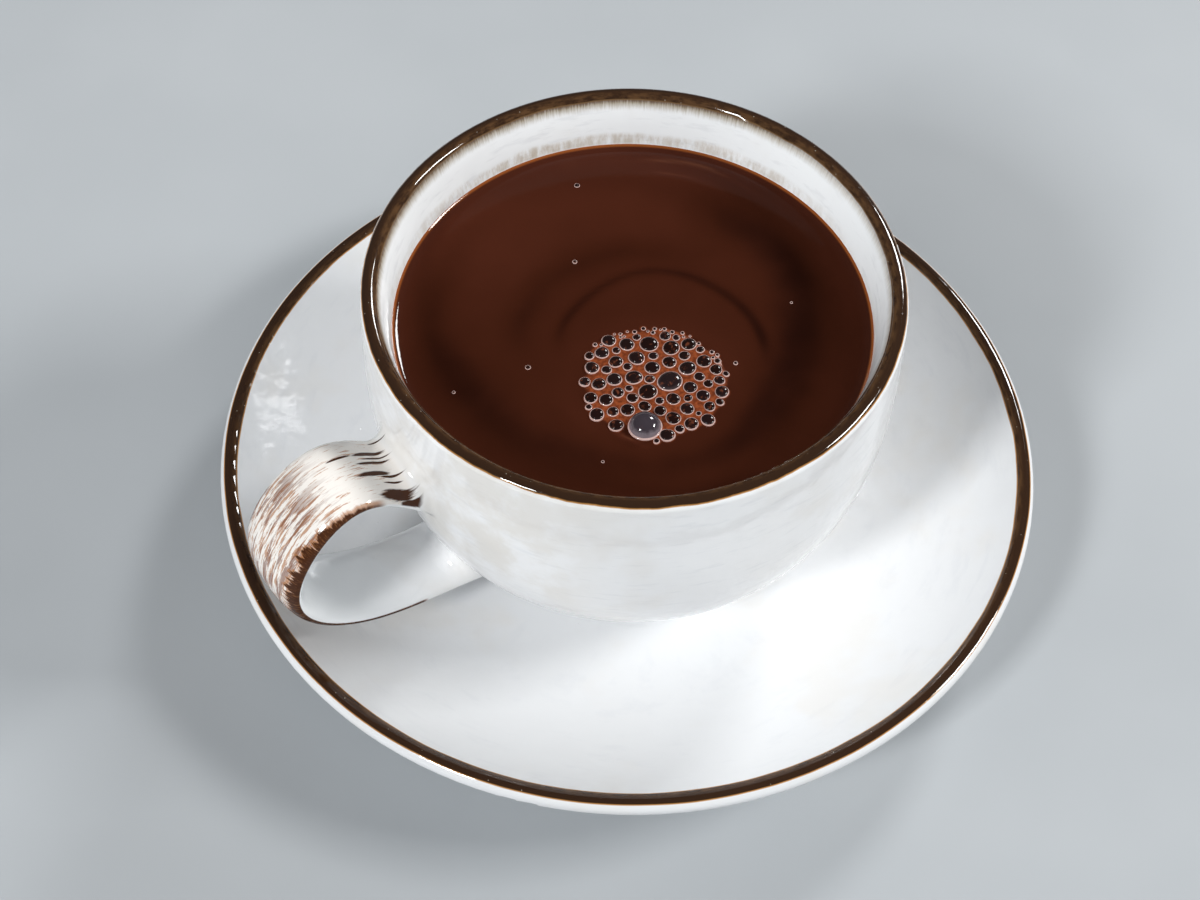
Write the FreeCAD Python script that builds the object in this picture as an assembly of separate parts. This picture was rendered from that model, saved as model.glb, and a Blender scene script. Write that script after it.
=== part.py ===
"""A cup of hot chocolate on its saucer: thick-walled round cup with a broad strap handle.

Frame: +Z up, origin on the surface the saucer stands on, at the middle of the saucer.
The handle points along -X. All sizes are in millimetres.
"""

import FreeCAD
import Part
import math
import os

# --- Saucer -----------------------------------------------------------------
saucer_radius = 75.0
saucer_height = 20.0
saucer_wall = 3.6
saucer_floor_radius = 31.0  # flat middle, before the sides start to rise
saucer_foot_radius = 42.0
saucer_foot_width = 4.0
saucer_foot_height = 2.6
saucer_foot_round = 0.9
well_clearance = 1.5  # round the foot of the cup
well_depth = 1.0

# --- Cup body ---------------------------------------------------------------
cup_height = 61.0
belly_radius = 46.6  # widest part of the outside
belly_below_rim = 13.0
bowl_overrun = 3.6  # below the cup's bottom, where the outside curve would meet the axis
bowl_fullness = 2.65  # 2 is an ellipse, more is squarer
wall = 5.3  # at the belly
floor_thinning = 0.5  # how much thinner the lower wall is than the belly
floor_height = 8.5  # inside bottom above the bottom of the cup
floor_round = 6.0
lip_round = 1.5
lip_set_in = 1.75  # from the belly to the middle of the lip's rounded edge
foot_radius = 25.2
foot_width = 3.6
foot_height = 3.2
foot_round = 0.8

# --- Handle (its middle line is placed from the belly, the rim and the cup's bottom) ---
handle_width = 13.6
handle_grip_width = 16.8  # at the furthest point, where the fingers bear
handle_thickness = 4.5
handle_root_flare = 1.3  # how much wider the strap is where it meets the body
handle_reach = 25.6  # beyond the belly, at its furthest
handle_reach_below_rim = 26.5
handle_crest_reach = 12.4
handle_crest_below_rim = 12.4
handle_top_root_below_rim = 21.0
handle_bottom_bend_reach = 13.9  # where the strap turns back towards the body
handle_bottom_bend_height = 17.2
handle_bottom_root_height = 10.8
handle_top_sink = 4.0  # how far the strap's middle line runs into the wall, and falls there
handle_bottom_sink = 8.0  # how far it runs in at the bottom root
handle_bottom_dip = 1.0  # how much it falls there
handle_fillet = 2.8

# --- Drink ------------------------------------------------------------------
fill_below_rim = 11.0

# --- Sizes that follow ------------------------------------------------------
saucer_floor_top = saucer_foot_height + saucer_wall
cup_base = saucer_floor_top - well_depth
well_radius = foot_radius + well_clearance
belly_height = cup_height - belly_below_rim
bowl_depth = belly_height + bowl_overrun
lip_radius = belly_radius - lip_set_in
inner_radius = belly_radius - wall
inner_depth = bowl_depth - wall + floor_thinning
lip_height = cup_height - lip_round

MATCH = 1e-6
CURVE_POINTS = 9
STRAP_SECTIONS = 25
BURIED_SHARE = 1 / 3  # of the saucer's wall, how far its foot ring's top runs into it
AXIS = FreeCAD.Vector(0, 0, 1)
ORIGIN = FreeCAD.Vector(0, 0, 0)


def at(radius, height):
    """A point of a turned profile, in the XZ plane."""
    return FreeCAD.Vector(radius, 0, height)


def line(a, b):
    return Part.LineSegment(a, b).toShape()


def arc(a, middle, b):
    return Part.Arc(a, middle, b).toShape()


def turned(edges):
    """The solid made by turning a closed profile once round the axis."""
    face = Part.Face(Part.Wire(Part.__sortEdges__(edges)))
    return face.revolve(ORIGIN, AXIS, 360)


def bowl_radius(drop, radius, depth):
    """Radius of a bowl's curve at a drop below its widest place."""
    return radius * math.sqrt(1 - (drop / depth) ** bowl_fullness)


def bowl_drop(at_radius, radius, depth):
    """Drop below the widest place at which a bowl's curve has a given radius."""
    return depth * (1 - (at_radius / radius) ** 2) ** (1 / bowl_fullness)


def bowl_curve(radius, depth, drop):
    """Edge of a bowl's side, from a drop below the widest place up to that place."""
    points = []
    for i in range(CURVE_POINTS):
        angle = math.pi / 2 * i / (CURVE_POINTS - 1)
        d = drop * math.cos(angle)
        points.append(at(bowl_radius(d, radius, depth), belly_height - d))
    curve = Part.BSplineCurve()
    upright_end = [False] * (CURVE_POINTS - 1) + [True]
    curve.interpolate(Points=points, Tangents=[AXIS] * CURVE_POINTS, TangentFlags=upright_end)
    return curve.toShape()


def side_to_lip(radius, facing):
    """Arc that leaves the belly upright and runs smoothly into the lip's round edge.

    Facing is 1 on the outside of the wall and -1 on its inside. Returns the edge and its upper end."""
    over = lip_radius + facing * lip_round - radius
    rise = lip_height - belly_height
    lean = math.atan2(over, rise)
    if abs(over) < MATCH:
        top = at(radius, lip_height)
        return line(at(radius, belly_height), top), top
    bend = (over**2 + rise**2) / (2 * over) - facing * lip_round

    def on_side(turn):
        return at(radius + bend * (1 - math.cos(turn)), belly_height + bend * math.sin(turn))

    return arc(on_side(0), on_side(lean), on_side(2 * lean)), on_side(2 * lean)


def foot_profile(outside, width, rounding):
    """Bottom of a foot ring, from its outside to its inside, with rounded edges."""
    inside = outside - width
    tuck = rounding * (1 - math.sqrt(0.5))
    return [
        arc(at(outside, rounding), at(outside - tuck, tuck), at(outside - rounding, 0)),
        line(at(outside - rounding, 0), at(inside + rounding, 0)),
        arc(at(inside + rounding, 0), at(inside + tuck, tuck), at(inside, rounding)),
    ]


def cavity():
    """The inside of the cup as a solid, from its floor up to where the lip's rounding starts."""
    side, top = side_to_lip(inner_radius, -1)
    floor_drop = belly_height - floor_height
    floor_edge = bowl_radius(floor_drop, inner_radius, inner_depth)
    solid = turned(
        [
            line(at(0, floor_height), at(floor_edge, floor_height)),
            bowl_curve(inner_radius, inner_depth, floor_drop),
            side,
            line(top, at(0, top.z)),
            line(at(0, top.z), at(0, floor_height)),
        ]
    )
    corner = [
        edge
        for edge in solid.Edges
        if edge.isClosed() and abs(edge.BoundBox.ZMax - floor_height) < MATCH
    ]
    return solid.makeFillet(floor_round, corner)


def cup_body():
    """The cup's outside as a full solid, closed across the mouth where the lip's rounding starts."""
    side, outer_top = side_to_lip(belly_radius, 1)
    inner_top = side_to_lip(inner_radius, -1)[1]
    foot_drop = bowl_drop(foot_radius, belly_radius, bowl_depth)
    recess = foot_radius - foot_width
    return turned(
        [
            side,
            arc(outer_top, at(lip_radius, cup_height), inner_top),
            line(inner_top, at(0, inner_top.z)),
            line(at(0, inner_top.z), at(0, foot_height)),
            line(at(0, foot_height), at(recess, foot_height)),
            line(at(recess, foot_height), at(recess, foot_round)),
            *foot_profile(foot_radius, foot_width, foot_round),
            line(at(foot_radius, foot_round), at(foot_radius, belly_height - foot_drop)),
            bowl_curve(belly_radius, bowl_depth, foot_drop),
        ]
    )


def strap_path():
    """Middle line of the handle, from inside the wall at its top root to inside it at the bottom."""
    bottom_root_radius = bowl_radius(
        belly_height - handle_bottom_root_height, belly_radius, bowl_depth
    )
    top_root_height = cup_height - handle_top_root_below_rim
    points = [
        at(belly_radius - handle_top_sink, top_root_height - handle_top_sink),
        at(belly_radius, top_root_height),
        at(belly_radius + handle_crest_reach, cup_height - handle_crest_below_rim),
        at(belly_radius + handle_reach, cup_height - handle_reach_below_rim),
        at(belly_radius + handle_bottom_bend_reach, handle_bottom_bend_height),
        at(bottom_root_radius, handle_bottom_root_height),
        at(bottom_root_radius - handle_bottom_sink, handle_bottom_root_height - handle_bottom_dip),
    ]
    curve = Part.BSplineCurve()
    curve.interpolate([FreeCAD.Vector(-p.x, 0, p.z) for p in points])
    return curve


def strap():
    """The handle: an oval section carried along its path, wider towards both roots."""
    path = strap_path()
    wires = []
    for i in range(STRAP_SECTIONS):
        share = i / (STRAP_SECTIONS - 1)
        u = path.FirstParameter + share * (path.LastParameter - path.FirstParameter)
        centre = path.value(u)
        along = FreeCAD.Vector(*path.tangent(u)[0])
        across = FreeCAD.Vector(0, 1, 0)
        through = along.cross(across)
        swell = 1 + (handle_root_flare - 1) * abs(2 * share - 1) ** 4
        near_grip = math.sin(math.pi * share) ** 2
        width = handle_width + (handle_grip_width - handle_width) * near_grip
        half_width = width / 2 * swell
        half_thickness = handle_thickness / 2 * swell
        oval = Part.Ellipse(
            centre + across * half_width, centre + through * half_thickness, centre
        )
        wires.append(Part.Wire(oval.toShape()))
    return Part.makeLoft(wires, True, False)


def cup():
    """Body and handle as one piece, hollowed out, with the handle's roots rounded into the wall."""
    joined = cup_body().fuse(strap())
    roots = [
        edge for edge in joined.Edges if edge.isClosed() and edge.BoundBox.XMax < -foot_radius
    ]
    rounded = joined.makeFillet(handle_fillet, roots)
    return rounded.cut(cavity())


def saucer():
    """A saucer with a rising side, a round lip, a foot ring and a shallow well for the cup."""
    half = saucer_wall / 2
    over = saucer_radius - half - saucer_floor_radius
    rise = saucer_height - half - saucer_floor_top
    bend = (over**2 + rise**2 - half**2) / (2 * (rise + half))
    turn = math.atan2(over, bend - rise)

    def on_side(depth, angle):
        """A point of the rising side, at a depth below its top face."""
        reach = bend + depth
        return at(
            saucer_floor_radius + reach * math.sin(angle),
            saucer_floor_top + bend - reach * math.cos(angle),
        )

    def under_height(radius):
        """Height of the underside at a radius."""
        beyond = max(0, radius - saucer_floor_radius)
        return saucer_floor_top + bend - math.sqrt((bend + saucer_wall) ** 2 - beyond**2)

    well_floor = saucer_floor_top - well_depth
    lip_end = on_side(half, turn) + at(half * math.cos(turn), half * math.sin(turn))
    plate = turned(
        [
            line(at(0, well_floor), at(well_radius, well_floor)),
            line(at(well_radius, well_floor), at(well_radius + well_depth, saucer_floor_top)),
            line(at(well_radius + well_depth, saucer_floor_top), on_side(0, 0)),
            arc(on_side(0, 0), on_side(0, turn / 2), on_side(0, turn)),
            arc(on_side(0, turn), lip_end, on_side(saucer_wall, turn)),
            arc(
                on_side(saucer_wall, turn), on_side(saucer_wall, turn / 2), on_side(saucer_wall, 0)
            ),
            line(on_side(saucer_wall, 0), at(0, saucer_foot_height)),
            line(at(0, saucer_foot_height), at(0, well_floor)),
        ]
    )
    inside = saucer_foot_radius - saucer_foot_width
    buried = under_height(saucer_foot_radius) + saucer_wall * BURIED_SHARE
    foot = turned(
        [
            *foot_profile(saucer_foot_radius, saucer_foot_width, saucer_foot_round),
            line(at(inside, saucer_foot_round), at(inside, buried)),
            line(at(inside, buried), at(saucer_foot_radius, buried)),
            line(at(saucer_foot_radius, buried), at(saucer_foot_radius, saucer_foot_round)),
        ]
    )
    return plate.fuse(foot)


def hot_chocolate():
    """The drink, filling the cup's inside up to its level."""
    level = cup_height - fill_below_rim
    slab = Part.makeCylinder(belly_radius, level)
    return cavity().common(slab)


def main():
    os.makedirs("parts", exist_ok=True)
    lift = AXIS * cup_base
    pieces = {
        "saucer": saucer(),
        "cup": cup().translated(lift),
        "hot_chocolate": hot_chocolate().translated(lift),
    }
    for name, shape in pieces.items():
        solid = shape.Solids[0]
        print(f"{name}: {len(shape.Solids)} solid, valid {solid.isValid()}, {solid.Volume / 1000:.1f} cm3")
        solid.exportStep(f"parts/{name}.step")


main()
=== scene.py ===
"""Looks for a cup of hot chocolate on its saucer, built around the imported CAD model.

The cup and saucer are the CAD nodes with glazes painted by procedural materials. The drink is a mesh
of its own with a meniscus, a raised bed of froth and domes of foam. Lengths below are in millimetres
and become metres where a mesh or a light is made. Directions of the camera, the lights and what
floats on the drink are given in the viewer's frame: x to the right, y away, z up.
"""

import math
import random

import bpy
import numpy as np
from mathutils import Matrix, Vector, noise


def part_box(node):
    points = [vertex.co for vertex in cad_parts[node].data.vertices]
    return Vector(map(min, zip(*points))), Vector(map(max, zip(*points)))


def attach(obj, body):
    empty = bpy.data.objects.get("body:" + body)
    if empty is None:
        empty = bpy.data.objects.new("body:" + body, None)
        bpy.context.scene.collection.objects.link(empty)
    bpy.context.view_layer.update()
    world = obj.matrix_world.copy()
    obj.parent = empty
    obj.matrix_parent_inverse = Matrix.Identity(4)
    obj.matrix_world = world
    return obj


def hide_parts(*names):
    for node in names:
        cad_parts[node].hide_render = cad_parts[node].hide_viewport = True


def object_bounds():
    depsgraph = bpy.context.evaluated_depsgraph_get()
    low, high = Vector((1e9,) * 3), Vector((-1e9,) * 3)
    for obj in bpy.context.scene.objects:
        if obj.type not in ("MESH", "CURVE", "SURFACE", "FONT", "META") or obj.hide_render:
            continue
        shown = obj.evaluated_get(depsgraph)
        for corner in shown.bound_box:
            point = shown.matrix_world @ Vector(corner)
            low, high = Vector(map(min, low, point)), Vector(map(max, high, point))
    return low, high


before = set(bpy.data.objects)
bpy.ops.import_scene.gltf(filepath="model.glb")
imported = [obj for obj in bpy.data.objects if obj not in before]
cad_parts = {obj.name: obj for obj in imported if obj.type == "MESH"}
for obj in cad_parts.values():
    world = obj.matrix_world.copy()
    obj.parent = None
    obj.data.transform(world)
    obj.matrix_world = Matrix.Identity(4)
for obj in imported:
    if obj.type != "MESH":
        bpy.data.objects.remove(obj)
cad_low, cad_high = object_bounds()

MM = 0.001
SEED = 7

# --- View ---------------------------------------------------------------------
VIEW_AZIMUTH = -35.0
VIEW_ELEVATION = 54.08
CAMERA_ROLL = 1.49
CAMERA_DISTANCE = 448.9
CAMERA_TARGET = (-5.11, 12.79, 0.0)
CAMERA_LENS = 69.0
CAMERA_SENSOR = 36.0

# --- Lights: azimuth from the viewer's right, elevation, distance, width, height, watts, colour -----
LIGHTS = {
    "right_box": (1.0, 36.0, 2500.0, 825.0, 375.0, 44.0, (1.0, 0.99, 0.975)),
    "left_box": (229.0, 38.0, 2500.0, 380.0, 500.0, 38.0, (1.0, 1.0, 1.0)),
    "back_box": (57.0, 34.0, 2500.0, 500.0, 500.0, 27.0, (1.0, 1.0, 1.0)),
    "front_fill": (285.0, 46.0, 2500.0, 2200.0, 1300.0, 12.0, (0.97, 0.985, 1.0)),
    "left_fill": (185.0, 22.0, 2500.0, 3000.0, 1200.0, 19.0, (0.97, 0.985, 1.0)),
}
SKY = (0.93, 0.96, 1.0)
SKY_STRENGTH = 0.068
FLOOR_HALF = 4000.0

# --- Places read from the frame ------------------------------------------------
_, drink_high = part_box("hot_chocolate")
_, cup_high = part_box("cup")
_, saucer_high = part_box("saucer")
LEVEL = drink_high.z / MM
RIM_TOP = cup_high.z / MM
SAUCER_RADIUS = saucer_high.x / MM
SAUCER_TOP = saucer_high.z / MM

# --- Bands on the rims ---------------------------------------------------------------
LIP_RADIUS = 44.85  # middle of the lip's rounded edge
BAND_DROP_OUTSIDE = 0.50  # how far the brown reaches down from the rim's top
BAND_DROP_INSIDE = 0.80
COMB_DEPTH = 2.4  # how far the tan comb marks reach down inside the lip
SAUCER_BAND_INNER = 3.1  # from the saucer's edge
SAUCER_BAND_OUTER = 0.85
SAUCER_LIP_DEPTH = 2.4  # lower than this, the saucer has no band

# --- Handle -------------------------------------------------------------------------
BODY_RADIUS = 47.5  # past this, the cup's body has ended
LOOP_X = -58.0  # middle of the handle's loop
LOOP_Z = 37.2
LOOP_REACH = 23.0  # the loop's paint ends this far from its middle
HANDLE_HALF_WIDTH = 7.45
HANDLE_WIDENING = 0.95  # where the strap is broadest
# Dark strokes near the handle's top root: degrees round the loop, length in degrees, place across it
# and width in millimetres.
ROOT_DASHES = [
    (122.0, 9.0, 4.9, 0.50),
    (111.0, 21.0, 2.2, 0.95),
    (93.0, 14.0, 2.5, 0.55),
    (112.0, 18.0, 1.0, 0.45),
    (110.0, 22.0, 0.0, 0.65),
    (105.5, 23.0, -2.3, 1.05),
    (115.5, 15.0, -3.2, 0.55),
    (115.5, 13.0, -4.4, 0.40),
    (115.0, 25.0, -6.5, 1.90),
    (126.0, 20.0, -7.7, 0.90),
]

# --- Drink --------------------------------------------------------------------------
FOAM_CENTRE = (3.4, -13.3)  # in the viewer's frame
FOAM_HALF_SIZE = (12.9, 11.9)
MENISCUS_RISE = 0.85
MENISCUS_REACH = 0.85
WALL_OVERLAP = 0.12
FROTH_HEIGHT = 0.20
DRINK_SEGMENTS = 448
FOAM_REACH = 14.6  # the rings of the drink's mesh are close together up to here
FOAM_RINGS = 96
OPEN_RINGS = 46
NEAR_WALL = 4.0  # from the wall: where the rings begin to draw together
NEAR_WALL_RINGS = 5
AT_WALL = 1.3
EDGE_RINGS = 16

# --- Foam ---------------------------------------------------------------------------
# The light ring at the foot is a painted reflection.
FOOT_FLARE = 0.10  # how far the light ring at a bubble's foot spreads beyond the dome
FOOT_RISE = 0.12
GREAT = 2.2  # a bubble with more than this radius stands up high
LARGE = 1.6
# The larger bubbles: x, y and radius in the viewer's frame, from the middle of the foam.
LARGE_BUBBLES = [
    (-1.1, -8.9, 2.66),
    (3.0, 0.7, 1.97),
    (-0.6, 8.6, 1.50),
    (3.2, 7.9, 1.40),
    (-4.4, 8.4, 1.20),
    (6.2, 8.8, 1.20),
    (-2.7, 5.5, 1.30),
    (-3.1, 1.3, 1.35),
    (-6.4, 0.8, 1.20),
    (-0.7, -1.7, 1.50),
    (2.9, 4.8, 1.10),
    (6.0, 3.6, 1.35),
    (8.8, 5.2, 1.20),
    (0.0, 3.5, 1.20),
    (3.6, -7.1, 1.20),
    (9.4, -7.2, 1.10),
    (2.6, -10.6, 1.15),
    (-9.2, -6.7, 1.15),
    (8.6, -2.2, 1.10),
    (-7.7, -3.6, 1.10),
]
# Each pass fills what room is left with bubbles as large as fit: least and largest radius, gap, tries.
FILLING_PASSES = [
    (0.86, 1.12, 0.48, 4000),
    (0.62, 0.85, 0.42, 4000),
    (0.40, 0.60, 0.42, 1500),
]
# A beading of tiny bubbles along the far edge.
BEAD_TRIES = 70
BEAD_RADIUS = (0.14, 0.34)
BEAD_GAP = 0.20
BEAD_BEARING = (28.0, 140.0)
BEAD_SHARE = (0.93, 1.03)  # of the foam's half size
# Lone bubbles on the open drink: x, y and radius in the viewer's frame.
LONE_BUBBLES = [
    (-10.5, 31.6, 0.42),
    (-10.4, 13.5, 0.34),
    (-17.7, -10.3, 0.40),
    (-30.0, -16.0, 0.22),
    (-4.6, -29.6, 0.20),
    (17.6, -8.2, 0.30),
    (27.5, 5.5, 0.18),
]

# --- Colours (linear) ------------------------------------------------------------------
CUP_WHITE = (0.86, 0.87, 0.88)
# A lighter copy of the cup's white, for the inside above the drink and the handle's inner side: painted
# light.
CUP_WHITE_LIT = (0.92, 0.945, 0.96)
# A darker copy of the cup's glaze white, for the saucer: painted shade.
SAUCER_WHITE_SHADED = (0.755, 0.77, 0.785)
WARM_GLAZE = (0.72, 0.69, 0.64)
BEIGE_GLAZE = (0.68, 0.645, 0.585)
GREY_GLAZE = (0.66, 0.68, 0.71)
BAND_BROWN = (0.030, 0.014, 0.007)
BAND_OLIVE = (0.110, 0.055, 0.023)
BAND_ORANGE = (0.42, 0.20, 0.055)
BAND_TAN = (0.17, 0.10, 0.045)
COMB_TAN = (0.36, 0.30, 0.21)
RESIDUE_TAN = (0.50, 0.42, 0.32)
CREAM = (0.87, 0.83, 0.78)
STREAK_ORANGE = (0.44, 0.19, 0.07)
STREAK_RED = (0.17, 0.050, 0.020)
STREAK_DARK = (0.060, 0.022, 0.010)
SPECK_PALE = (0.55, 0.50, 0.42)
# The drink's lighter, darker and streak colours follow painted shade and reflections as well as its
# swirls.
DRINK_MIDDLE = (0.036, 0.0088, 0.0040)
DRINK_LIGHT = (0.056, 0.0140, 0.0070)
DRINK_DARK = (0.012, 0.0032, 0.0019)
DRINK_STREAK = (0.105, 0.034, 0.017)
FROTH_ORANGE = (0.24, 0.056, 0.018)
FROTH_DEEP = (0.12, 0.026, 0.009)
EDGE_ORANGE = (0.27, 0.075, 0.018)
BUBBLE_DARK = (0.010, 0.0035, 0.0025)
# Painted reflections on the bubbles' film: brown patches, the pale ring at the foot and the grey sheen.
BUBBLE_REFLECTED_BROWN = (0.16, 0.045, 0.020)
BUBBLE_RING_REFLECTION = (0.62, 0.43, 0.39)
BUBBLE_SHEEN_LIGHT = (0.20, 0.165, 0.185)
BUBBLE_SHEEN_DARK = (0.040, 0.032, 0.040)
FLOOR_GREY = (0.395, 0.42, 0.44)
FLOOR_LIGHT = (0.42, 0.445, 0.465)


def to_row(x, y, z):
    """A point of the viewer's frame as a point of the row frame."""
    return Matrix.Rotation(math.radians(VIEW_AZIMUTH), 3, "Z") @ Vector((x, y, z))


def direction(azimuth, elevation):
    """Unit vector of the viewer's frame; azimuth runs from x (right) towards y (away)."""
    a, e = math.radians(azimuth), math.radians(elevation)
    return Vector((math.cos(a) * math.cos(e), math.sin(a) * math.cos(e), math.sin(e)))


def smoothstep(low, high, value):
    """0 at low and 1 at high, whichever is the larger, with a soft change between."""
    share = np.clip((np.asarray(value, dtype=float) - low) / (high - low), 0.0, 1.0)
    return share * share * (3.0 - 2.0 * share)


# --- Camera and lights ------------------------------------------------------------------


def make_camera():
    """The camera looks down its own line of sight at the target, turned a little about that line."""
    back = direction(-90.0, VIEW_ELEVATION)
    target = Vector(CAMERA_TARGET)
    place = to_row(*(target + back * CAMERA_DISTANCE)) * MM
    look = to_row(*-back)
    camera = bpy.data.objects.new("camera", bpy.data.cameras.new("camera"))
    bpy.context.collection.objects.link(camera)
    camera.data.sensor_width = CAMERA_SENSOR
    camera.data.lens = CAMERA_LENS
    camera.data.clip_start = 0.01
    camera.data.clip_end = 20.0
    turn = look.to_track_quat("-Z", "Y").to_matrix() @ Matrix.Rotation(math.radians(CAMERA_ROLL), 3, "Z")
    camera.matrix_world = Matrix.Translation(place) @ turn.to_4x4()
    bpy.context.scene.camera = camera


def make_lights():
    """Soft boxes that the glaze mirrors, fills that it does not, and a dim even sky."""
    for name, (azimuth, elevation, distance, width, height, watts, colour) in LIGHTS.items():
        data = bpy.data.lights.new(name, "AREA")
        data.shape = "RECTANGLE"
        data.size = width * MM
        data.size_y = height * MM
        data.energy = watts
        data.color = colour
        light = bpy.data.objects.new(name, data)
        light.visible_glossy = name.endswith("box")  # the fills leave no streaks on the glaze
        bpy.context.collection.objects.link(light)
        place = to_row(*(direction(azimuth, elevation) * distance)) * MM
        turn = (-place).to_track_quat("-Z", "Y").to_matrix()
        light.matrix_world = Matrix.Translation(place) @ turn.to_4x4()
    world = bpy.data.worlds.new("studio")
    world.use_nodes = True
    sky = world.node_tree.nodes["Background"]
    sky.inputs["Color"].default_value = (*SKY, 1.0)
    sky.inputs["Strength"].default_value = SKY_STRENGTH
    bpy.context.scene.world = world


# --- Materials -------------------------------------------------------------------------------


class Shader:
    """A material whose node tree is written as short calls. Values are sockets, numbers or tuples."""

    def __init__(self, name):
        self.material = bpy.data.materials.new(name)
        self.material.use_nodes = True
        self.tree = self.material.node_tree
        self.surface = self.tree.nodes["Principled BSDF"]
        coordinates = self.tree.nodes.new("ShaderNodeTexCoord")
        self.normal = coordinates.outputs["Normal"]
        self.place = self.vector("SCALE", coordinates.outputs["Object"], factor=1.0 / MM)
        self.x, self.y, self.z = self.split(self.place)

    def feed(self, socket, value):
        """Links a socket to an input, or sets the input to a number or a colour."""
        if isinstance(value, bpy.types.NodeSocket):
            self.tree.links.new(value, socket)
        elif isinstance(value, tuple) and len(value) == 3 and len(socket.default_value) == 4:
            socket.default_value = (*value, 1.0)
        else:
            socket.default_value = value

    def number(self, operation, *values):
        node = self.tree.nodes.new("ShaderNodeMath")
        node.operation = operation
        for socket, value in zip(node.inputs, values):
            self.feed(socket, value)
        return node.outputs[0]

    def add(self, *values):
        total = values[0]
        for value in values[1:]:
            total = self.number("ADD", total, value)
        return total

    def times(self, *values):
        product = values[0]
        for value in values[1:]:
            product = self.number("MULTIPLY", product, value)
        return product

    def less(self, value):
        """1 minus a value."""
        return self.number("SUBTRACT", 1.0, value)

    def vector(self, operation, *values, factor=None):
        node = self.tree.nodes.new("ShaderNodeVectorMath")
        node.operation = operation
        for socket, value in zip(node.inputs, values):
            self.feed(socket, value)
        if factor is not None:
            self.feed(node.inputs["Scale"], factor)
        return node.outputs["Value" if operation in ("LENGTH", "DOT_PRODUCT") else "Vector"]

    def join(self, x=0.0, y=0.0, z=0.0):
        node = self.tree.nodes.new("ShaderNodeCombineXYZ")
        for socket, value in zip(node.inputs, (x, y, z)):
            self.feed(socket, value)
        return node.outputs[0]

    def split(self, value):
        node = self.tree.nodes.new("ShaderNodeSeparateXYZ")
        self.feed(node.inputs[0], value)
        return node.outputs[:]

    def step(self, value, low, high):
        """0 below low and 1 above high, or the other way round where low is the larger."""
        node = self.tree.nodes.new("ShaderNodeMapRange")
        node.interpolation_type = "SMOOTHSTEP"
        self.feed(node.inputs["Value"], value)
        flip = not isinstance(low, bpy.types.NodeSocket) and low > high
        first, last = (high, low) if flip else (low, high)
        self.feed(node.inputs["From Min"], first)
        self.feed(node.inputs["From Max"], last)
        self.feed(node.inputs["To Min"], 1.0 if flip else 0.0)
        self.feed(node.inputs["To Max"], 0.0 if flip else 1.0)
        return node.outputs["Result"]

    def noise(self, vector, scale, detail=2.0, roughness=0.5, distortion=0.0):
        node = self.tree.nodes.new("ShaderNodeTexNoise")
        self.feed(node.inputs["Vector"], vector)
        self.feed(node.inputs["Scale"], scale)
        self.feed(node.inputs["Detail"], detail)
        self.feed(node.inputs["Roughness"], roughness)
        self.feed(node.inputs["Distortion"], distortion)
        return node.outputs["Fac"]

    def cells(self, vector, scale):
        """Distance to the nearest of many scattered points."""
        node = self.tree.nodes.new("ShaderNodeTexVoronoi")
        self.feed(node.inputs["Vector"], vector)
        self.feed(node.inputs["Scale"], scale)
        return node.outputs["Distance"]

    def mix(self, factor, a, b):
        node = self.tree.nodes.new("ShaderNodeMix")
        node.data_type = "RGBA"
        self.feed(node.inputs["Factor"], factor)
        self.feed(node.inputs[6], a)
        self.feed(node.inputs[7], b)
        return node.outputs[2]

    def attribute(self, name):
        """A value that the mesh carries at each point."""
        node = self.tree.nodes.new("ShaderNodeAttribute")
        node.attribute_name = name
        return node.outputs["Fac"]

    def bump(self, height, distance):
        """Fine unevenness of the surface, as deep as distance."""
        node = self.tree.nodes.new("ShaderNodeBump")
        node.inputs["Strength"].default_value = 1.0
        node.inputs["Distance"].default_value = distance * MM
        self.feed(node.inputs["Height"], height)
        self.set(Normal=node.outputs["Normal"])

    def set(self, **values):
        """Sets inputs of the surface; an underscore stands for a space in a name."""
        for name, value in values.items():
            self.feed(self.surface.inputs[name.replace("_", " ")], value)

    def round_the_axis(self):
        """Distance from the object's axis, and the direction from it as a unit vector."""
        flat = self.join(self.x, self.y)
        return self.vector("LENGTH", flat), self.vector("NORMALIZE", flat)

    def facing(self, aside, azimuth, narrow, wide):
        """1 where the direction from the axis lies near a viewer's azimuth, falling to 0 beside it."""
        towards = to_row(*direction(azimuth, 0.0))
        near = self.vector("DOT_PRODUCT", aside, tuple(towards))
        return self.step(near, math.cos(math.radians(wide)), math.cos(math.radians(narrow)))


# --- Glazes ----------------------------------------------------------------------------------


def glaze_colour(s, aside, white):
    """White glaze, a little uneven: grey brush rings and warm clouds."""
    turned = s.vector("SCALE", aside, factor=16.0)
    rings = s.noise(s.vector("ADD", turned, s.join(0.0, 0.0, s.times(s.z, 1.9))), 0.42, 4.0, 0.6)
    clouds = s.noise(s.place, 0.055, 3.0, 0.55)
    colour = s.mix(s.times(s.step(rings, 0.52, 0.72), 0.32), white, GREY_GLAZE)
    return s.mix(s.times(s.step(clouds, 0.50, 0.70), 0.35), colour, WARM_GLAZE)


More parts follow.
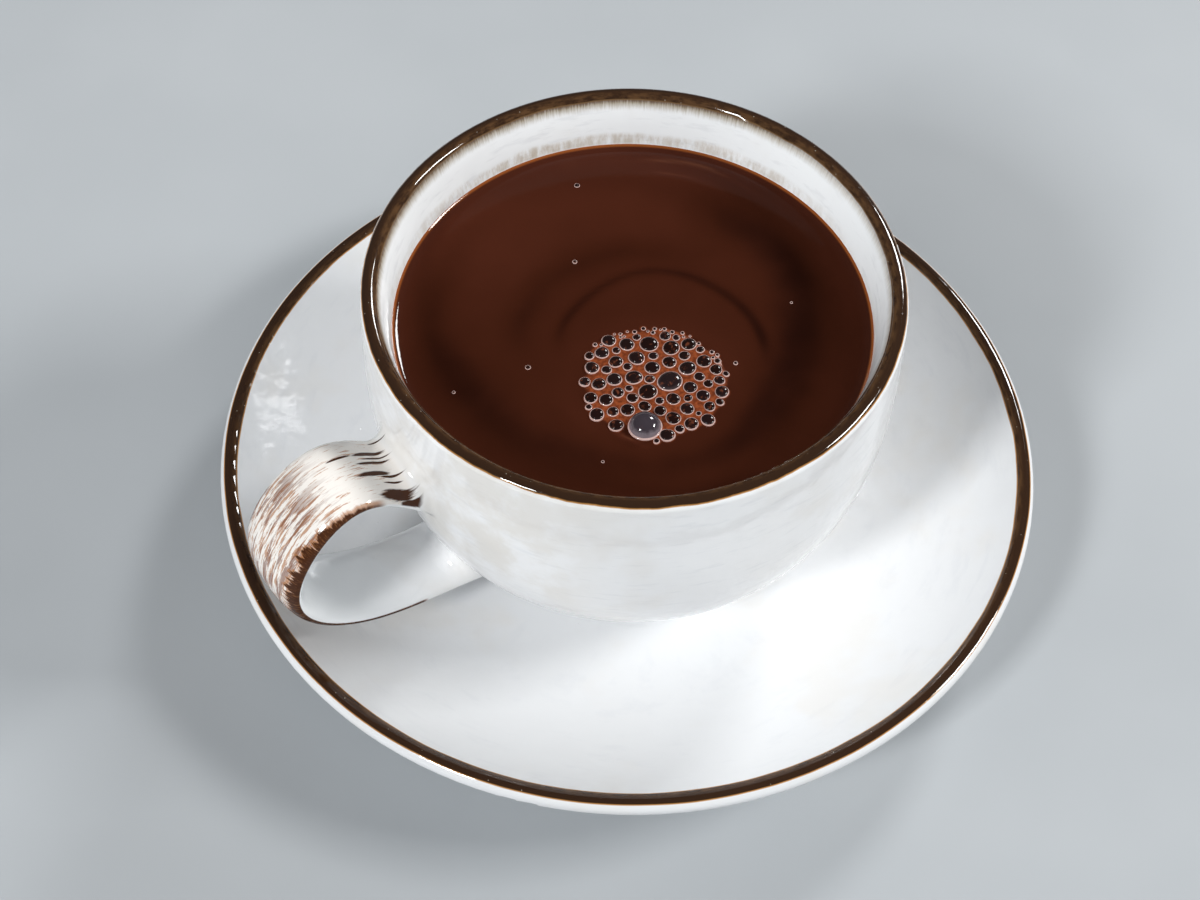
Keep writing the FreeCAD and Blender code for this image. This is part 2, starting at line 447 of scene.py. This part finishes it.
def band_colour(s, aside, inward):
    """The brown of the rims: dark outside, olive-brown glaze drifts with painted sheen on its inner half,
    pale pinholes.
    """
    along = s.vector("ADD", s.vector("SCALE", aside, factor=20.0), s.join(0.0, 0.0, s.times(inward, 1.6)))
    drifts = s.noise(along, 0.9, 5.0, 0.65)
    # The lighter olive-brown on the inner half is partly the glaze's own drift and partly painted sheen.
    olive = s.times(s.step(inward, -0.2, 0.9), s.step(drifts, 0.36, 0.64), 0.75)
    pinholes = s.step(s.cells(s.place, 0.95), 0.10, 0.06)
    scarce = s.step(s.noise(s.place, 0.7, 1.0), 0.52, 0.60)
    return s.mix(s.times(pinholes, scarce, 0.8), s.mix(olive, BAND_BROWN, BAND_OLIVE), SPECK_PALE)


def fade_through(s, depth, under, over, edge, width):
    """Over where depth is positive and under where it is negative, with an edge colour between."""
    colour = s.mix(s.step(depth, -width, -width * 0.2), under, edge)
    return s.mix(s.step(depth, -width * 0.2, width * 0.6), colour, over)


def gloss(s):
    """Clear hard gloss with a faint unevenness in the way it reflects."""
    uneven = s.noise(s.place, 0.12, 3.0, 0.5)
    s.set(IOR=1.52, Roughness=s.add(0.045, s.times(uneven, 0.05)))
    orange_peel = s.noise(s.place, 0.22, 2.0, 0.45)
    pits = s.step(s.cells(s.place, 0.42), 0.12, 0.0)
    rare = s.step(s.noise(s.place, 0.2, 1.0), 0.60, 0.68)
    s.bump(s.add(orange_peel, s.times(pits, rare, -0.4)), 0.09)


def saucer_material():
    """White glaze in a darker copy as painted shade, with a brown band on the saucer's lip."""
    s = Shader("saucer_glaze")
    radius, aside = s.round_the_axis()
    wobble = s.times(s.add(s.noise(s.vector("SCALE", aside, factor=9.0), 0.6, 3.0), -0.5), 0.5)
    inner_edge = s.add(radius, wobble, SAUCER_BAND_INNER - SAUCER_RADIUS)
    outer_edge = s.add(s.times(radius, -1.0), s.times(wobble, 0.5), SAUCER_RADIUS - SAUCER_BAND_OUTER)
    above = s.step(s.z, SAUCER_TOP - SAUCER_LIP_DEPTH, SAUCER_TOP - SAUCER_LIP_DEPTH + 0.4)
    depth = s.number("MINIMUM", inner_edge, outer_edge)
    # The saucer's white is the darker copy of the glaze: painted shade.
    white = glaze_colour(s, aside, SAUCER_WHITE_SHADED)
    inward = s.add(s.times(radius, -1.0), SAUCER_RADIUS - 2.0)
    banded = fade_through(s, depth, white, band_colour(s, aside, inward), BAND_ORANGE, 0.20)
    s.set(Base_Color=s.mix(above, white, banded))
    gloss(s)
    return s.material


def lip_colours(s, radius, aside, white):
    """The brown band on the lip, and the tan combed fade just inside it."""
    outside = s.step(radius, LIP_RADIUS - 0.3, LIP_RADIUS + 0.3)
    turned = s.vector("SCALE", aside, factor=30.0)
    wobble = s.times(s.add(s.noise(turned, 0.25, 3.0), -0.5), 0.5)
    drop = s.add(BAND_DROP_INSIDE, s.times(outside, BAND_DROP_OUTSIDE - BAND_DROP_INSIDE))
    height = s.add(s.z, drop, wobble, -RIM_TOP)
    upright = s.vector("ADD", s.vector("SCALE", aside, factor=44.0), s.join(0.0, 0.0, s.times(s.z, 0.10)))
    combs = s.noise(upright, 3.4, 3.0, 0.65)
    back_left = s.facing(aside, 145.0, 35.0, 115.0)
    right = s.times(s.facing(aside, 35.0, 25.0, 85.0), 0.6)
    strength = s.number("MINIMUM", s.add(back_left, right), 1.0)
    share = s.number("DIVIDE", s.add(height, COMB_DEPTH), COMB_DEPTH)
    ragged = s.add(share, s.times(s.add(combs, -0.5), 0.45))
    veil = s.times(s.step(ragged, 0.05, 0.90), s.add(0.70, s.times(combs, 0.5)), s.less(outside), strength)
    tan = s.mix(s.step(ragged, 0.62, 1.0), COMB_TAN, BAND_OLIVE)
    combed = s.mix(s.number("MINIMUM", veil, 0.95), white, tan)
    inward = s.add(s.times(radius, -1.0), LIP_RADIUS)
    edge = s.mix(outside, BAND_TAN, BAND_ORANGE)
    return fade_through(s, height, combed, band_colour(s, aside, inward), edge, 0.22)


def residue_colours(s, radius, aside, colour):
    """Dried smudges that the drink left on the inside of the wall."""
    above = s.add(s.z, -LEVEL)
    inside = s.times(s.step(radius, LIP_RADIUS - 1.2, LIP_RADIUS - 1.6), s.step(above, -3.0, -2.0))
    turned = s.vector("SCALE", aside, factor=41.0)
    around = s.vector("ADD", turned, s.join(0.0, 0.0, s.times(s.z, 0.30)))
    ragged = s.noise(around, 0.50, 5.0, 0.7)
    top = s.add(2.0, s.times(s.noise(turned, 0.07, 2.0), 3.4))
    in_height = s.times(s.step(above, 0.5, 1.5), s.step(s.number("SUBTRACT", top, above), 0.0, 1.2))
    at_back = s.add(s.facing(aside, 92.0, 25.0, 70.0), s.times(s.facing(aside, 150.0, 15.0, 60.0), 0.4))
    smudge = s.times(s.step(ragged, 0.32, 0.68), in_height, at_back, inside, 0.62)
    thin = s.times(s.step(above, 2.8, 0.4), s.step(ragged, 0.3, 0.7), inside, 0.22)
    colour = s.mix(smudge, colour, RESIDUE_TAN)
    return s.mix(thin, colour, RESIDUE_TAN)


def stroke(s, along, across, middle, length, row, width, ragged):
    """One brushed dash of the handle's paint, in degrees round the loop and millimetres across it."""
    a = s.number("DIVIDE", s.add(along, -middle), length / 2)
    b = s.number("DIVIDE", s.add(across, -row, s.times(a, 0.12)), width / 2)
    far = s.number("SQRT", s.add(s.times(a, a), s.times(b, b)))
    return s.step(s.add(far, ragged), 1.12, 0.80)


def handle_colours(s, colour):
    """Brushed brown paint on the handle's outer side, a dark fringe on its near edge, painted light on its
    inner side.
    """
    out_x = s.add(s.times(s.x, -1.0), LOOP_X)
    out_z = s.add(s.z, -LOOP_Z)
    along = s.times(s.number("ARCTAN2", out_z, out_x), 180.0 / math.pi)
    spread = s.number("SQRT", s.add(s.times(out_x, out_x), s.times(out_z, out_z)))
    nx, _, nz = s.split(s.normal)
    outward = s.number("DIVIDE", s.number("SUBTRACT", s.times(nz, out_z), s.times(nx, out_x)), spread)
    on_handle = s.step(s.x, -BODY_RADIUS - 0.1, -BODY_RADIUS - 1.5)
    outer = s.times(s.step(outward, 0.05, 0.30), on_handle)
    # The inner side of the loop gets the lighter copy of the white: painted light.
    loop_side = s.times(s.step(outward, -0.1, -0.5), s.step(s.x, -44.0, -64.0))
    colour = s.mix(loop_side, colour, CUP_WHITE_LIT)

    # Paint drawn out along the strap: thin streaks, fine lines and broader red patches.
    lanes = s.join(s.times(along, 0.030), s.times(s.y, 1.0), 0.0)
    fine = s.noise(lanes, 1.9, 5.0, 0.68, 0.25)
    broad = s.noise(lanes, 0.75, 4.0, 0.6, 0.3)
    breaks = s.noise(s.join(s.times(along, 0.09), s.times(s.y, 0.5), 4.0), 1.0, 4.0, 0.65)

    toward_tip = s.times(s.step(along, 92.0, 48.0), s.step(along, -75.0, -45.0))
    thin_share = s.add(0.570, s.times(toward_tip, -0.070))
    thin = s.step(fine, thin_share, s.add(thin_share, 0.05))
    lines = s.times(s.step(s.noise(lanes, 2.7, 3.0, 0.6, 0.2), 0.60, 0.64), toward_tip)
    red = s.times(s.step(s.add(broad, s.times(breaks, 0.35)), 0.675, 0.735), toward_tip)
    painted = s.times(s.step(along, 124.0, 112.0), s.step(along, -110.0, -80.0))
    coat = s.mix(s.times(outer, 0.9), colour, CREAM)
    coat = s.mix(s.times(thin, outer, painted, 0.78), coat, STREAK_ORANGE)
    coat = s.mix(s.times(red, outer, 0.72), coat, STREAK_RED)
    coat = s.mix(s.times(lines, outer, 0.6), coat, STREAK_RED)

    # The dark strokes by the top root.
    ragged = s.times(s.add(fine, -0.5), 1.2)
    dashes = 0.0
    for middle, length, row, width in ROOT_DASHES:
        dashes = s.number("MAXIMUM", dashes, stroke(s, along, s.y, middle, length, row, width, ragged))
    dashes = s.times(dashes, s.step(outward, -0.1, 0.2), s.step(spread, LOOP_REACH + 2.0, LOOP_REACH))
    coat = s.mix(dashes, coat, STREAK_DARK)

    # The dark fringe on the near edge, with an orange border and ragged teeth.
    off_middle = s.number("DIVIDE", s.add(along, 8.0), 52.0)
    widening = s.number("EXPONENT", s.times(off_middle, off_middle, -1.0))
    from_edge = s.add(s.y, HANDLE_HALF_WIDTH, s.times(widening, HANDLE_WIDENING))
    teeth = s.noise(s.join(s.times(along, 0.40), s.times(s.y, 0.10), 9.0), 1.0, 3.0, 0.7)
    clumps = s.noise(s.join(s.times(along, 0.10), 2.0, 9.0), 1.0, 2.0, 0.5)
    upper = s.times(s.step(along, 104.0, 34.0), s.step(along, -70.0, 5.0), 1.35)
    lower = s.times(s.step(along, 40.0, -30.0), s.step(along, -145.0, -105.0), 0.85)
    reach = s.times(s.add(upper, lower), s.add(s.times(teeth, 4.0), s.times(clumps, 2.0), -2.0))
    depth = s.number("SUBTRACT", reach, from_edge)
    in_run = s.times(s.step(along, 106.0, 98.0), s.step(along, -142.0, -128.0), on_handle)
    near_side = s.step(outward, -0.40, -0.20)
    mottle = s.noise(s.join(s.times(along, 0.5), s.times(s.y, 0.5), 2.0), 1.6, 3.0, 0.7)
    dark = s.mix(s.times(s.step(mottle, 0.50, 0.72), 0.30), STREAK_DARK, STREAK_ORANGE)
    coat = s.mix(s.times(s.step(depth, -0.6, -0.1), in_run, near_side, 0.75), coat, STREAK_ORANGE)
    fringe = s.times(s.step(depth, -0.10, 0.30), in_run, near_side)
    dull = s.number("MAXIMUM", fringe, s.number("MAXIMUM", s.times(red, outer), dashes))
    s.set(Specular_IOR_Level=s.add(0.5, s.times(dull, -0.38)))
    return s.mix(fringe, coat, dark)


def cup_material():
    """White glaze with a brown lip, smears above the drink, paint on the handle and painted light inside.
    """
    s = Shader("cup_glaze")
    radius, aside = s.round_the_axis()
    outside = s.step(radius, LIP_RADIUS - 1.5, LIP_RADIUS - 0.5)
    clouds = s.step(s.noise(s.place, 0.09, 4.0, 0.6), 0.36, 0.60)
    on_body = s.times(outside, s.step(radius, BODY_RADIUS + 1.5, BODY_RADIUS), s.step(s.z, 30.0, 40.0))
    # Above the drink the inner wall gets the lighter copy of the white: painted light.
    inside = s.times(s.less(outside), s.step(s.z, LEVEL - 4.0, LEVEL - 1.0))
    white = glaze_colour(s, aside, s.mix(inside, CUP_WHITE, CUP_WHITE_LIT))
    by_handle = s.times(s.facing(aside, 229.0, 14.0, 40.0), on_body, clouds, 0.55)
    white = s.mix(by_handle, white, BEIGE_GLAZE)
    colour = residue_colours(s, radius, aside, white)
    colour = lip_colours(s, radius, aside, colour)
    s.set(Base_Color=handle_colours(s, colour))
    gloss(s)
    return s.material


# --- Drink -----------------------------------------------------------------------------------


def wall_profile():
    """Radius of the drink's side against its height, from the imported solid, in millimetres."""
    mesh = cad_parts["hot_chocolate"].data
    spots = np.empty(len(mesh.vertices) * 3)
    mesh.vertices.foreach_get("co", spots)
    spots = spots.reshape(-1, 3) / MM
    radii = np.hypot(spots[:, 0], spots[:, 1])
    heights = np.linspace(spots[:, 2].min(), spots[:, 2].max(), 40)
    bins = [radii[np.abs(spots[:, 2] - h) < 1.2].max() for h in heights]
    return heights, np.array(bins)


def in_foam(x, y, r):
    """Whether a bubble lies within the foam's uneven outline."""
    angle = math.atan2(y, x)
    uneven = 1 + 0.04 * math.sin(3 * angle + 0.6) + 0.03 * math.sin(5 * angle + 2.0)
    a, b = (half * uneven - r for half in FOAM_HALF_SIZE)
    return (x / a) ** 2 + (y / b) ** 2 < 1


def bubble_plan():
    """Places and sizes of the foam's bubbles: a few large ones given in a list, the rest packed round
    them.
    """
    rng = random.Random(SEED)
    half_x, half_y = FOAM_HALF_SIZE
    bubbles = list(LARGE_BUBBLES)
    for low, high, gap, tries in FILLING_PASSES:
        for _ in range(tries):
            x = rng.uniform(-half_x, half_x)
            y = rng.uniform(-half_y, half_y)
            room = min(math.hypot(x - a, y - b) - c for a, b, c in bubbles) - gap
            r = min(high, room)
            if r >= low and in_foam(x, y, r):
                bubbles.append((x, y, r))
    for _ in range(BEAD_TRIES):
        bearing = math.radians(rng.uniform(*BEAD_BEARING))
        share = rng.uniform(*BEAD_SHARE)
        x, y = half_x * share * math.cos(bearing), half_y * share * math.sin(bearing)
        r = rng.uniform(*BEAD_RADIUS)
        if all(math.hypot(x - a, y - b) > r + c + BEAD_GAP for a, b, c in bubbles):
            bubbles.append((x, y, r))
    return [(FOAM_CENTRE[0] + x, FOAM_CENTRE[1] + y, r) for x, y, r in bubbles]


def surface_height(x, y, wall, froth):
    """Height of the drink's top over its level, at points of the viewer's frame."""
    radius = np.hypot(x, y)
    climb = MENISCUS_RISE * np.exp(-np.maximum(wall - radius, 0.0) / MENISCUS_REACH)
    slow = 0.035 * np.sin(0.21 * x + 0.13 * y + 1.0) + 0.03 * np.sin(0.09 * x - 0.24 * y + 2.2)
    return climb + slow * smoothstep(wall, wall - 8.0, radius) + froth * FROTH_HEIGHT


def froth_amount(x, y, bubbles):
    """How much froth lies at each point: full between close bubbles, none far from them."""
    near = np.full(x.shape, 1e9)
    crowd = np.zeros(x.shape)
    for a, b, r in bubbles:
        gap = np.hypot(x - a, y - b) - r
        near = np.minimum(near, gap)
        crowd += np.exp(-((np.maximum(gap, 0.0) / 1.5) ** 2)) * min(1.0, r / 0.8)
    between = smoothstep(1.3, 2.7, crowd)
    halo = smoothstep(0.60, 0.05, near)
    froth = np.maximum(0.62 * halo, smoothstep(2.2, 0.2, near) * between)
    return froth, froth * smoothstep(1.2, 2.6, crowd)


def drink_shading_and_swirls(x, y):
    """Lightness of the drink, from -1 (dark) to 1 (light): painted shade and reflections, and swirls."""
    fx, fy = x - FOAM_CENTRE[0], y - FOAM_CENTRE[1]
    from_foam = np.hypot(fx / 1.08, fy)
    warp = np.array([noise.noise(Vector((a * 0.06, b * 0.06, 3.0))) for a, b in zip(x, y)])
    fine = np.array([noise.noise(Vector((a * 0.22, b * 0.22, 8.0))) for a, b in zip(x, y)])

    def ring(middle, size, width, start, end, blur=25.0):
        """A soft arc round a middle, between two bearings in degrees that run anticlockwise."""
        rx, ry = x - middle[0], y - middle[1]
        off = np.hypot(rx, ry) - size - 1.6 * warp
        half = (end - start) / 2
        turned = (np.degrees(np.arctan2(ry, rx)) - start - half + 180.0) % 360.0 - 180.0
        return np.exp(-((off / width) ** 2)) * smoothstep(half + blur, half - blur, np.abs(turned))

    # Lighter towards the back: painted light.
    shade_and_swirl = 0.15 + 0.50 * smoothstep(2.0, 34.0, y - 0.55 * x + 5.0 * warp)
    # Dark rings just inside the wall: painted shadow of the cup's rim.
    shade_and_swirl -= 0.70 * ring((-2.0, 1.0), 31.0, 5.2, -70.0, 66.0, 26.0)
    shade_and_swirl -= 0.58 * ring((-2.0, 2.0), 30.5, 5.2, 195.0, 280.0, 35.0)
    shade_and_swirl -= 0.55 * ring((-2.0, 2.0), 33.0, 3.6, 150.0, 200.0)
    # Darker arcs round the foam: partly painted reflection, partly swirl in the drink.
    shade_and_swirl -= 0.60 * ring((5.0, -6.5), 17.8, 1.2, 5.0, 172.0, 15.0)
    shade_and_swirl -= 0.48 * ring((-0.5, -2.5), 18.8, 3.2, 60.0, 190.0)
    # A lighter ring at the edge: painted reflection of the white wall.
    shade_and_swirl += 0.16 * ring((-1.0, 0.0), 38.0, 3.0, 0.0, 360.0, 0.001)
    shade_and_swirl += 0.20 * np.exp(-(((from_foam - 13.2) / 2.6) ** 2))
    streak = np.hypot((fx + 4.0) * 0.34 - (fy + 11.2) * 0.16, (fy + 11.2) * 1.5 + (fx + 4.0) * 0.80)
    shade_and_swirl += 1.00 * np.exp(-(streak**2))
    # Thin light arcs at the back right: painted highlights.
    shade_and_swirl += 0.42 * ring((0.0, 0.0), 38.2, 0.40, 60.0, 86.0, 12.0)
    shade_and_swirl += 0.36 * ring((0.0, 0.0), 35.0, 0.50, 66.0, 88.0, 10.0)
    return shade_and_swirl + 0.14 * warp + 0.08 * fine


def add_mesh(name, vertices, faces, attributes, material):
    """Makes a smooth piece on the root body, with values at its points for its material to read."""
    mesh = bpy.data.meshes.new(name)
    mesh.from_pydata([tuple(v) for v in vertices], [], faces)
    for label, values in attributes.items():
        layer = mesh.attributes.new(label, "FLOAT", "POINT")
        layer.data.foreach_set("value", np.asarray(values, dtype=np.float32))
    mesh.polygons.foreach_set("use_smooth", [True] * len(mesh.polygons))
    mesh.materials.append(material)
    mesh.update()
    piece = bpy.data.objects.new(name, mesh)
    bpy.context.collection.objects.link(piece)
    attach(piece, "root")
    return piece


def make_drink(bubbles, material):
    """A closed body: a top of rings that start round the foam and end at the wall, and a turned side."""
    heights, radii = wall_profile()
    wall = radii[-1] + 0.02
    outer = wall + WALL_OVERLAP
    ring_sizes = np.concatenate(
        [
            np.linspace(0.0, FOAM_REACH, FOAM_RINGS + 1)[1:],
            np.linspace(FOAM_REACH, wall - NEAR_WALL, OPEN_RINGS + 1)[1:],
            np.linspace(wall - NEAR_WALL, wall - AT_WALL, NEAR_WALL_RINGS + 1)[1:],
            np.linspace(wall - AT_WALL, outer, EDGE_RINGS + 1)[1:],
        ]
    )
    shift = 1.0 - smoothstep(FOAM_REACH - 1.0, wall - 3.0, ring_sizes)
    angles = np.arange(DRINK_SEGMENTS) / DRINK_SEGMENTS * 2 * math.pi
    x = ring_sizes[:, None] * np.cos(angles) + shift[:, None] * FOAM_CENTRE[0]
    y = ring_sizes[:, None] * np.sin(angles) + shift[:, None] * FOAM_CENTRE[1]
    x = np.concatenate([[FOAM_CENTRE[0]], x.ravel()])
    y = np.concatenate([[FOAM_CENTRE[1]], y.ravel()])
    radius = np.hypot(x, y)
    froth, raised = froth_amount(x, y, bubbles)
    z = LEVEL + surface_height(x, y, wall, raised)
    side_heights = heights[::-1][1:]
    side_radii = radii[::-1][1:] + WALL_OVERLAP
    side_x = (side_radii[:, None] * np.cos(angles)).ravel()
    side_y = (side_radii[:, None] * np.sin(angles)).ravel()
    side_z = np.repeat(side_heights, DRINK_SEGMENTS)
    x_all = np.concatenate([x, side_x, [0.0]])
    y_all = np.concatenate([y, side_y, [0.0]])
    z_all = np.concatenate([z, side_z, [side_heights[-1]]])
    vertices = [to_row(a, b, c) * MM for a, b, c in zip(x_all, y_all, z_all)]

    starts = range(1, len(vertices) - 1, DRINK_SEGMENTS)
    last = len(vertices) - 1
    faces = []
    for k in range(DRINK_SEGMENTS):
        n = (k + 1) % DRINK_SEGMENTS
        faces.append((0, starts[0] + k, starts[0] + n))
        faces += [(a + k, b + k, b + n, a + n) for a, b in zip(starts, starts[1:])]
        faces.append((last, starts[-1] + n, starts[-1] + k))

    buried = len(x_all) - len(x)
    # Painted shade and reflections on the drink, with its swirls.
    shade_and_swirl = drink_shading_and_swirls(x, y)
    edge = smoothstep(wall - 0.50, wall - 0.12, radius)
    attributes = {
        "froth": np.concatenate([froth, np.zeros(buried)]),
        "shade_and_swirl": np.concatenate([shade_and_swirl, np.zeros(buried)]),
        "edge": np.concatenate([edge, np.ones(buried)]),
        "rim": np.concatenate([smoothstep(wall - 2.2, wall - 1.0, radius), np.ones(buried)]),
    }
    piece = add_mesh("drink", vertices, faces, attributes, material)
    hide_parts("hot_chocolate")


def drink_material():
    """Glossy dark chocolate with painted shade, reflections and swirls, orange-brown in the froth and at
    the wall.
    """
    s = Shader("chocolate")
    shade_and_swirl = s.attribute("shade_and_swirl")
    froth = s.attribute("froth")
    edge = s.attribute("edge")
    # Lighter, darker and streaked colours follow the painted shade, reflections and swirls.
    colour = s.mix(s.step(shade_and_swirl, -0.1, 0.9), DRINK_MIDDLE, DRINK_LIGHT)
    colour = s.mix(s.step(shade_and_swirl, 0.05, -0.75), colour, DRINK_DARK)
    colour = s.mix(s.step(shade_and_swirl, 0.78, 1.35), colour, DRINK_STREAK)
    drift = s.noise(s.place, 0.05, 3.0, 0.5, 0.6)
    colour = s.mix(s.times(s.step(drift, 0.45, 0.70), 0.16), colour, DRINK_LIGHT)
    mottled = s.mix(s.step(s.noise(s.place, 1.3, 3.0), 0.35, 0.65), FROTH_DEEP, FROTH_ORANGE)
    colour = s.mix(s.step(froth, 0.12, 0.85), colour, mottled)
    colour = s.mix(s.times(edge, 0.9), colour, EDGE_ORANGE)
    shine = s.add(0.10, s.times(s.attribute("rim"), 0.45), s.times(froth, 0.25))
    s.set(Base_Color=colour, IOR=1.33, Specular_IOR_Level=shine)
    s.set(Roughness=s.add(0.035, s.times(froth, 0.20)))
    s.bump(s.noise(s.place, 0.5, 3.0), 0.02)
    return s.material


# --- Foam ------------------------------------------------------------------------------------


def bubble_outline(radius, plump):
    """Reach, height and ring share up one bubble: a spread foot at 1, then the dome, down to -1."""
    flare = FOOT_FLARE + 0.035 * radius
    outline = [
        (radius + flare + 0.08, -0.25, 1.0),
        (radius + flare, -0.02, 1.0),
        (radius + 0.6 * flare, 0.8 * FOOT_RISE, 1.0),
        (radius + 0.2 * flare, FOOT_RISE, 1.0),
        (radius, 0.7 * FOOT_RISE, 0.9),
    ]
    steps = int(8 + 5 * min(radius, GREAT))
    for i in range(1, steps):
        lift = math.pi / 2 * i / steps
        height = 0.7 * FOOT_RISE + radius * plump * math.sin(lift)
        outline.append((radius * math.cos(lift), height, -math.sin(lift)))
    return outline


def froth_under(bubbles):
    """Height of the highest froth round each bubble's foot."""
    x, y, r = np.array(bubbles).T[:, :, None]
    bearings = np.arange(8) * math.pi / 4
    around_x = x + (r + 0.2) * np.cos(bearings)
    around_y = y + (r + 0.2) * np.sin(bearings)
    return LEVEL + froth_amount(around_x, around_y, bubbles)[1].max(axis=1) * FROTH_HEIGHT


def make_bubbles(bubbles, material):
    """Domes of film, a little out of round, each with its own pattern of painted reflections."""
    rng = random.Random(SEED + 1)
    vertices, faces = [], []
    rings, veils, tones = [], [], []
    for (x, y, r), base in zip(bubbles, froth_under(bubbles)):
        segments = int(20 + 14 * min(r, GREAT))
        plump = 0.78 if r > GREAT else rng.uniform(0.30, 0.46)
        stretch, lean = rng.uniform(0.0, 0.05), rng.uniform(0, math.pi)
        third, third_at = rng.uniform(0.0, 0.025), rng.uniform(0, math.pi)
        tone = rng.random()
        # How much painted grey sky reflection covers the bubble.
        veil = 1.0 if r > GREAT else (0.18 if r > LARGE else rng.uniform(0.0, 0.10))
        outline = bubble_outline(r, plump)
        start = len(vertices)
        for reach, height, ring in outline:
            for k in range(segments):
                angle = 2 * math.pi * k / segments
                out = 1 + stretch * math.cos(2 * (angle - lean)) + third * math.cos(3 * (angle - third_at))
                spot_x = x + reach * out * math.cos(angle)
                spot_y = y + reach * out * math.sin(angle)
                vertices.append(to_row(spot_x, spot_y, base + height) * MM)
                rings.append(ring)
        top, under = len(vertices), len(vertices) + 1
        vertices.append(to_row(x, y, base + 0.7 * FOOT_RISE + r * plump) * MM)
        vertices.append(to_row(x, y, base - 0.3) * MM)
        rings += [-1.0, 1.0]
        veils += [veil] * (len(vertices) - start)
        tones += [tone] * (len(vertices) - start)
        last = start + (len(outline) - 1) * segments
        for k in range(segments):
            n = (k + 1) % segments
            for a in range(start, last, segments):
                b = a + segments
                faces.append((a + k, a + n, b + n, b + k))
            faces.append((last + k, last + n, top))
            faces.append((start + n, start + k, under))
    attributes = {"ring": rings, "veil": veils, "tone": tones}
    add_mesh("foam_bubbles", vertices, faces, attributes, material)


def bubble_material():
    """Dark film with painted reflections: brown patches, a pale ring at the foot, grey sky on the greatest
    bubbles.
    """
    s = Shader("bubble_film")
    ring = s.attribute("ring")
    veil = s.attribute("veil")
    tone = s.attribute("tone")
    # Brown patches on the dark film: painted reflections.
    reflected_patches = s.noise(s.vector("ADD", s.place, s.join(s.times(tone, 40.0))), 0.9, 3.0, 0.6, 0.4)
    colour = s.mix(s.times(s.step(reflected_patches, 0.54, 0.70), 0.7), BUBBLE_DARK, BUBBLE_REFLECTED_BROWN)
    # Over the greatest bubbles, a grey sheen that is lighter towards the foot: painted reflection of the
    # sky.
    from_foot = s.add(s.times(ring, -1.0), s.times(reflected_patches, 0.5))
    shade = s.mix(s.step(from_foot, 0.45, 0.95), BUBBLE_SHEEN_LIGHT, BUBBLE_SHEEN_DARK)
    colour = s.mix(s.times(veil, 0.92), colour, shade)
    # A pale ring at each foot: painted reflection of the white wall on the film's edge.
    ragged = s.times(s.add(s.noise(s.place, 2.2, 2.0), -0.5), 0.7)
    ring = s.step(s.add(ring, ragged), 0.25, 0.80)
    s.set(Base_Color=s.mix(s.times(ring, 0.85), colour, BUBBLE_RING_REFLECTION), Roughness=0.04, IOR=1.40)
    s.set(Specular_IOR_Level=s.add(0.32, s.times(veil, 0.3)))
    return s.material


# --- Floor -----------------------------------------------------------------------------------


def make_floor():
    """A plain pale floor for the saucer to stand on."""
    s = Shader("floor_paint")
    patches = s.noise(s.place, 0.012, 3.0, 0.5)
    colour = s.mix(s.step(patches, 0.35, 0.65), FLOOR_GREY, FLOOR_LIGHT)
    s.set(Base_Color=colour, Roughness=0.55, IOR=1.3)
    mesh = bpy.data.meshes.new("floor")
    half = FLOOR_HALF * MM
    low = cad_low.z
    corners = [(-half, -half, low), (half, -half, low), (half, half, low), (-half, half, low)]
    mesh.from_pydata(corners, [], [(0, 1, 2, 3)])
    mesh.materials.append(s.material)
    floor = bpy.data.objects.new("floor", mesh)
    bpy.context.collection.objects.link(floor)


def dress(node, material):
    """Gives a CAD node its finish."""
    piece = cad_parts[node]
    for slot in piece.material_slots:
        slot.material = material


def main():
    """Builds the stage, then dresses the cup and saucer and adds the drink and its foam."""
    bpy.context.scene.view_settings.view_transform = "Standard"
    make_camera()
    make_lights()
    make_floor()
    dress("saucer", saucer_material())
    dress("cup", cup_material())
    bubbles = bubble_plan()
    make_drink(bubbles, drink_material())
    make_bubbles(bubbles + LONE_BUBBLES, bubble_material())


main()
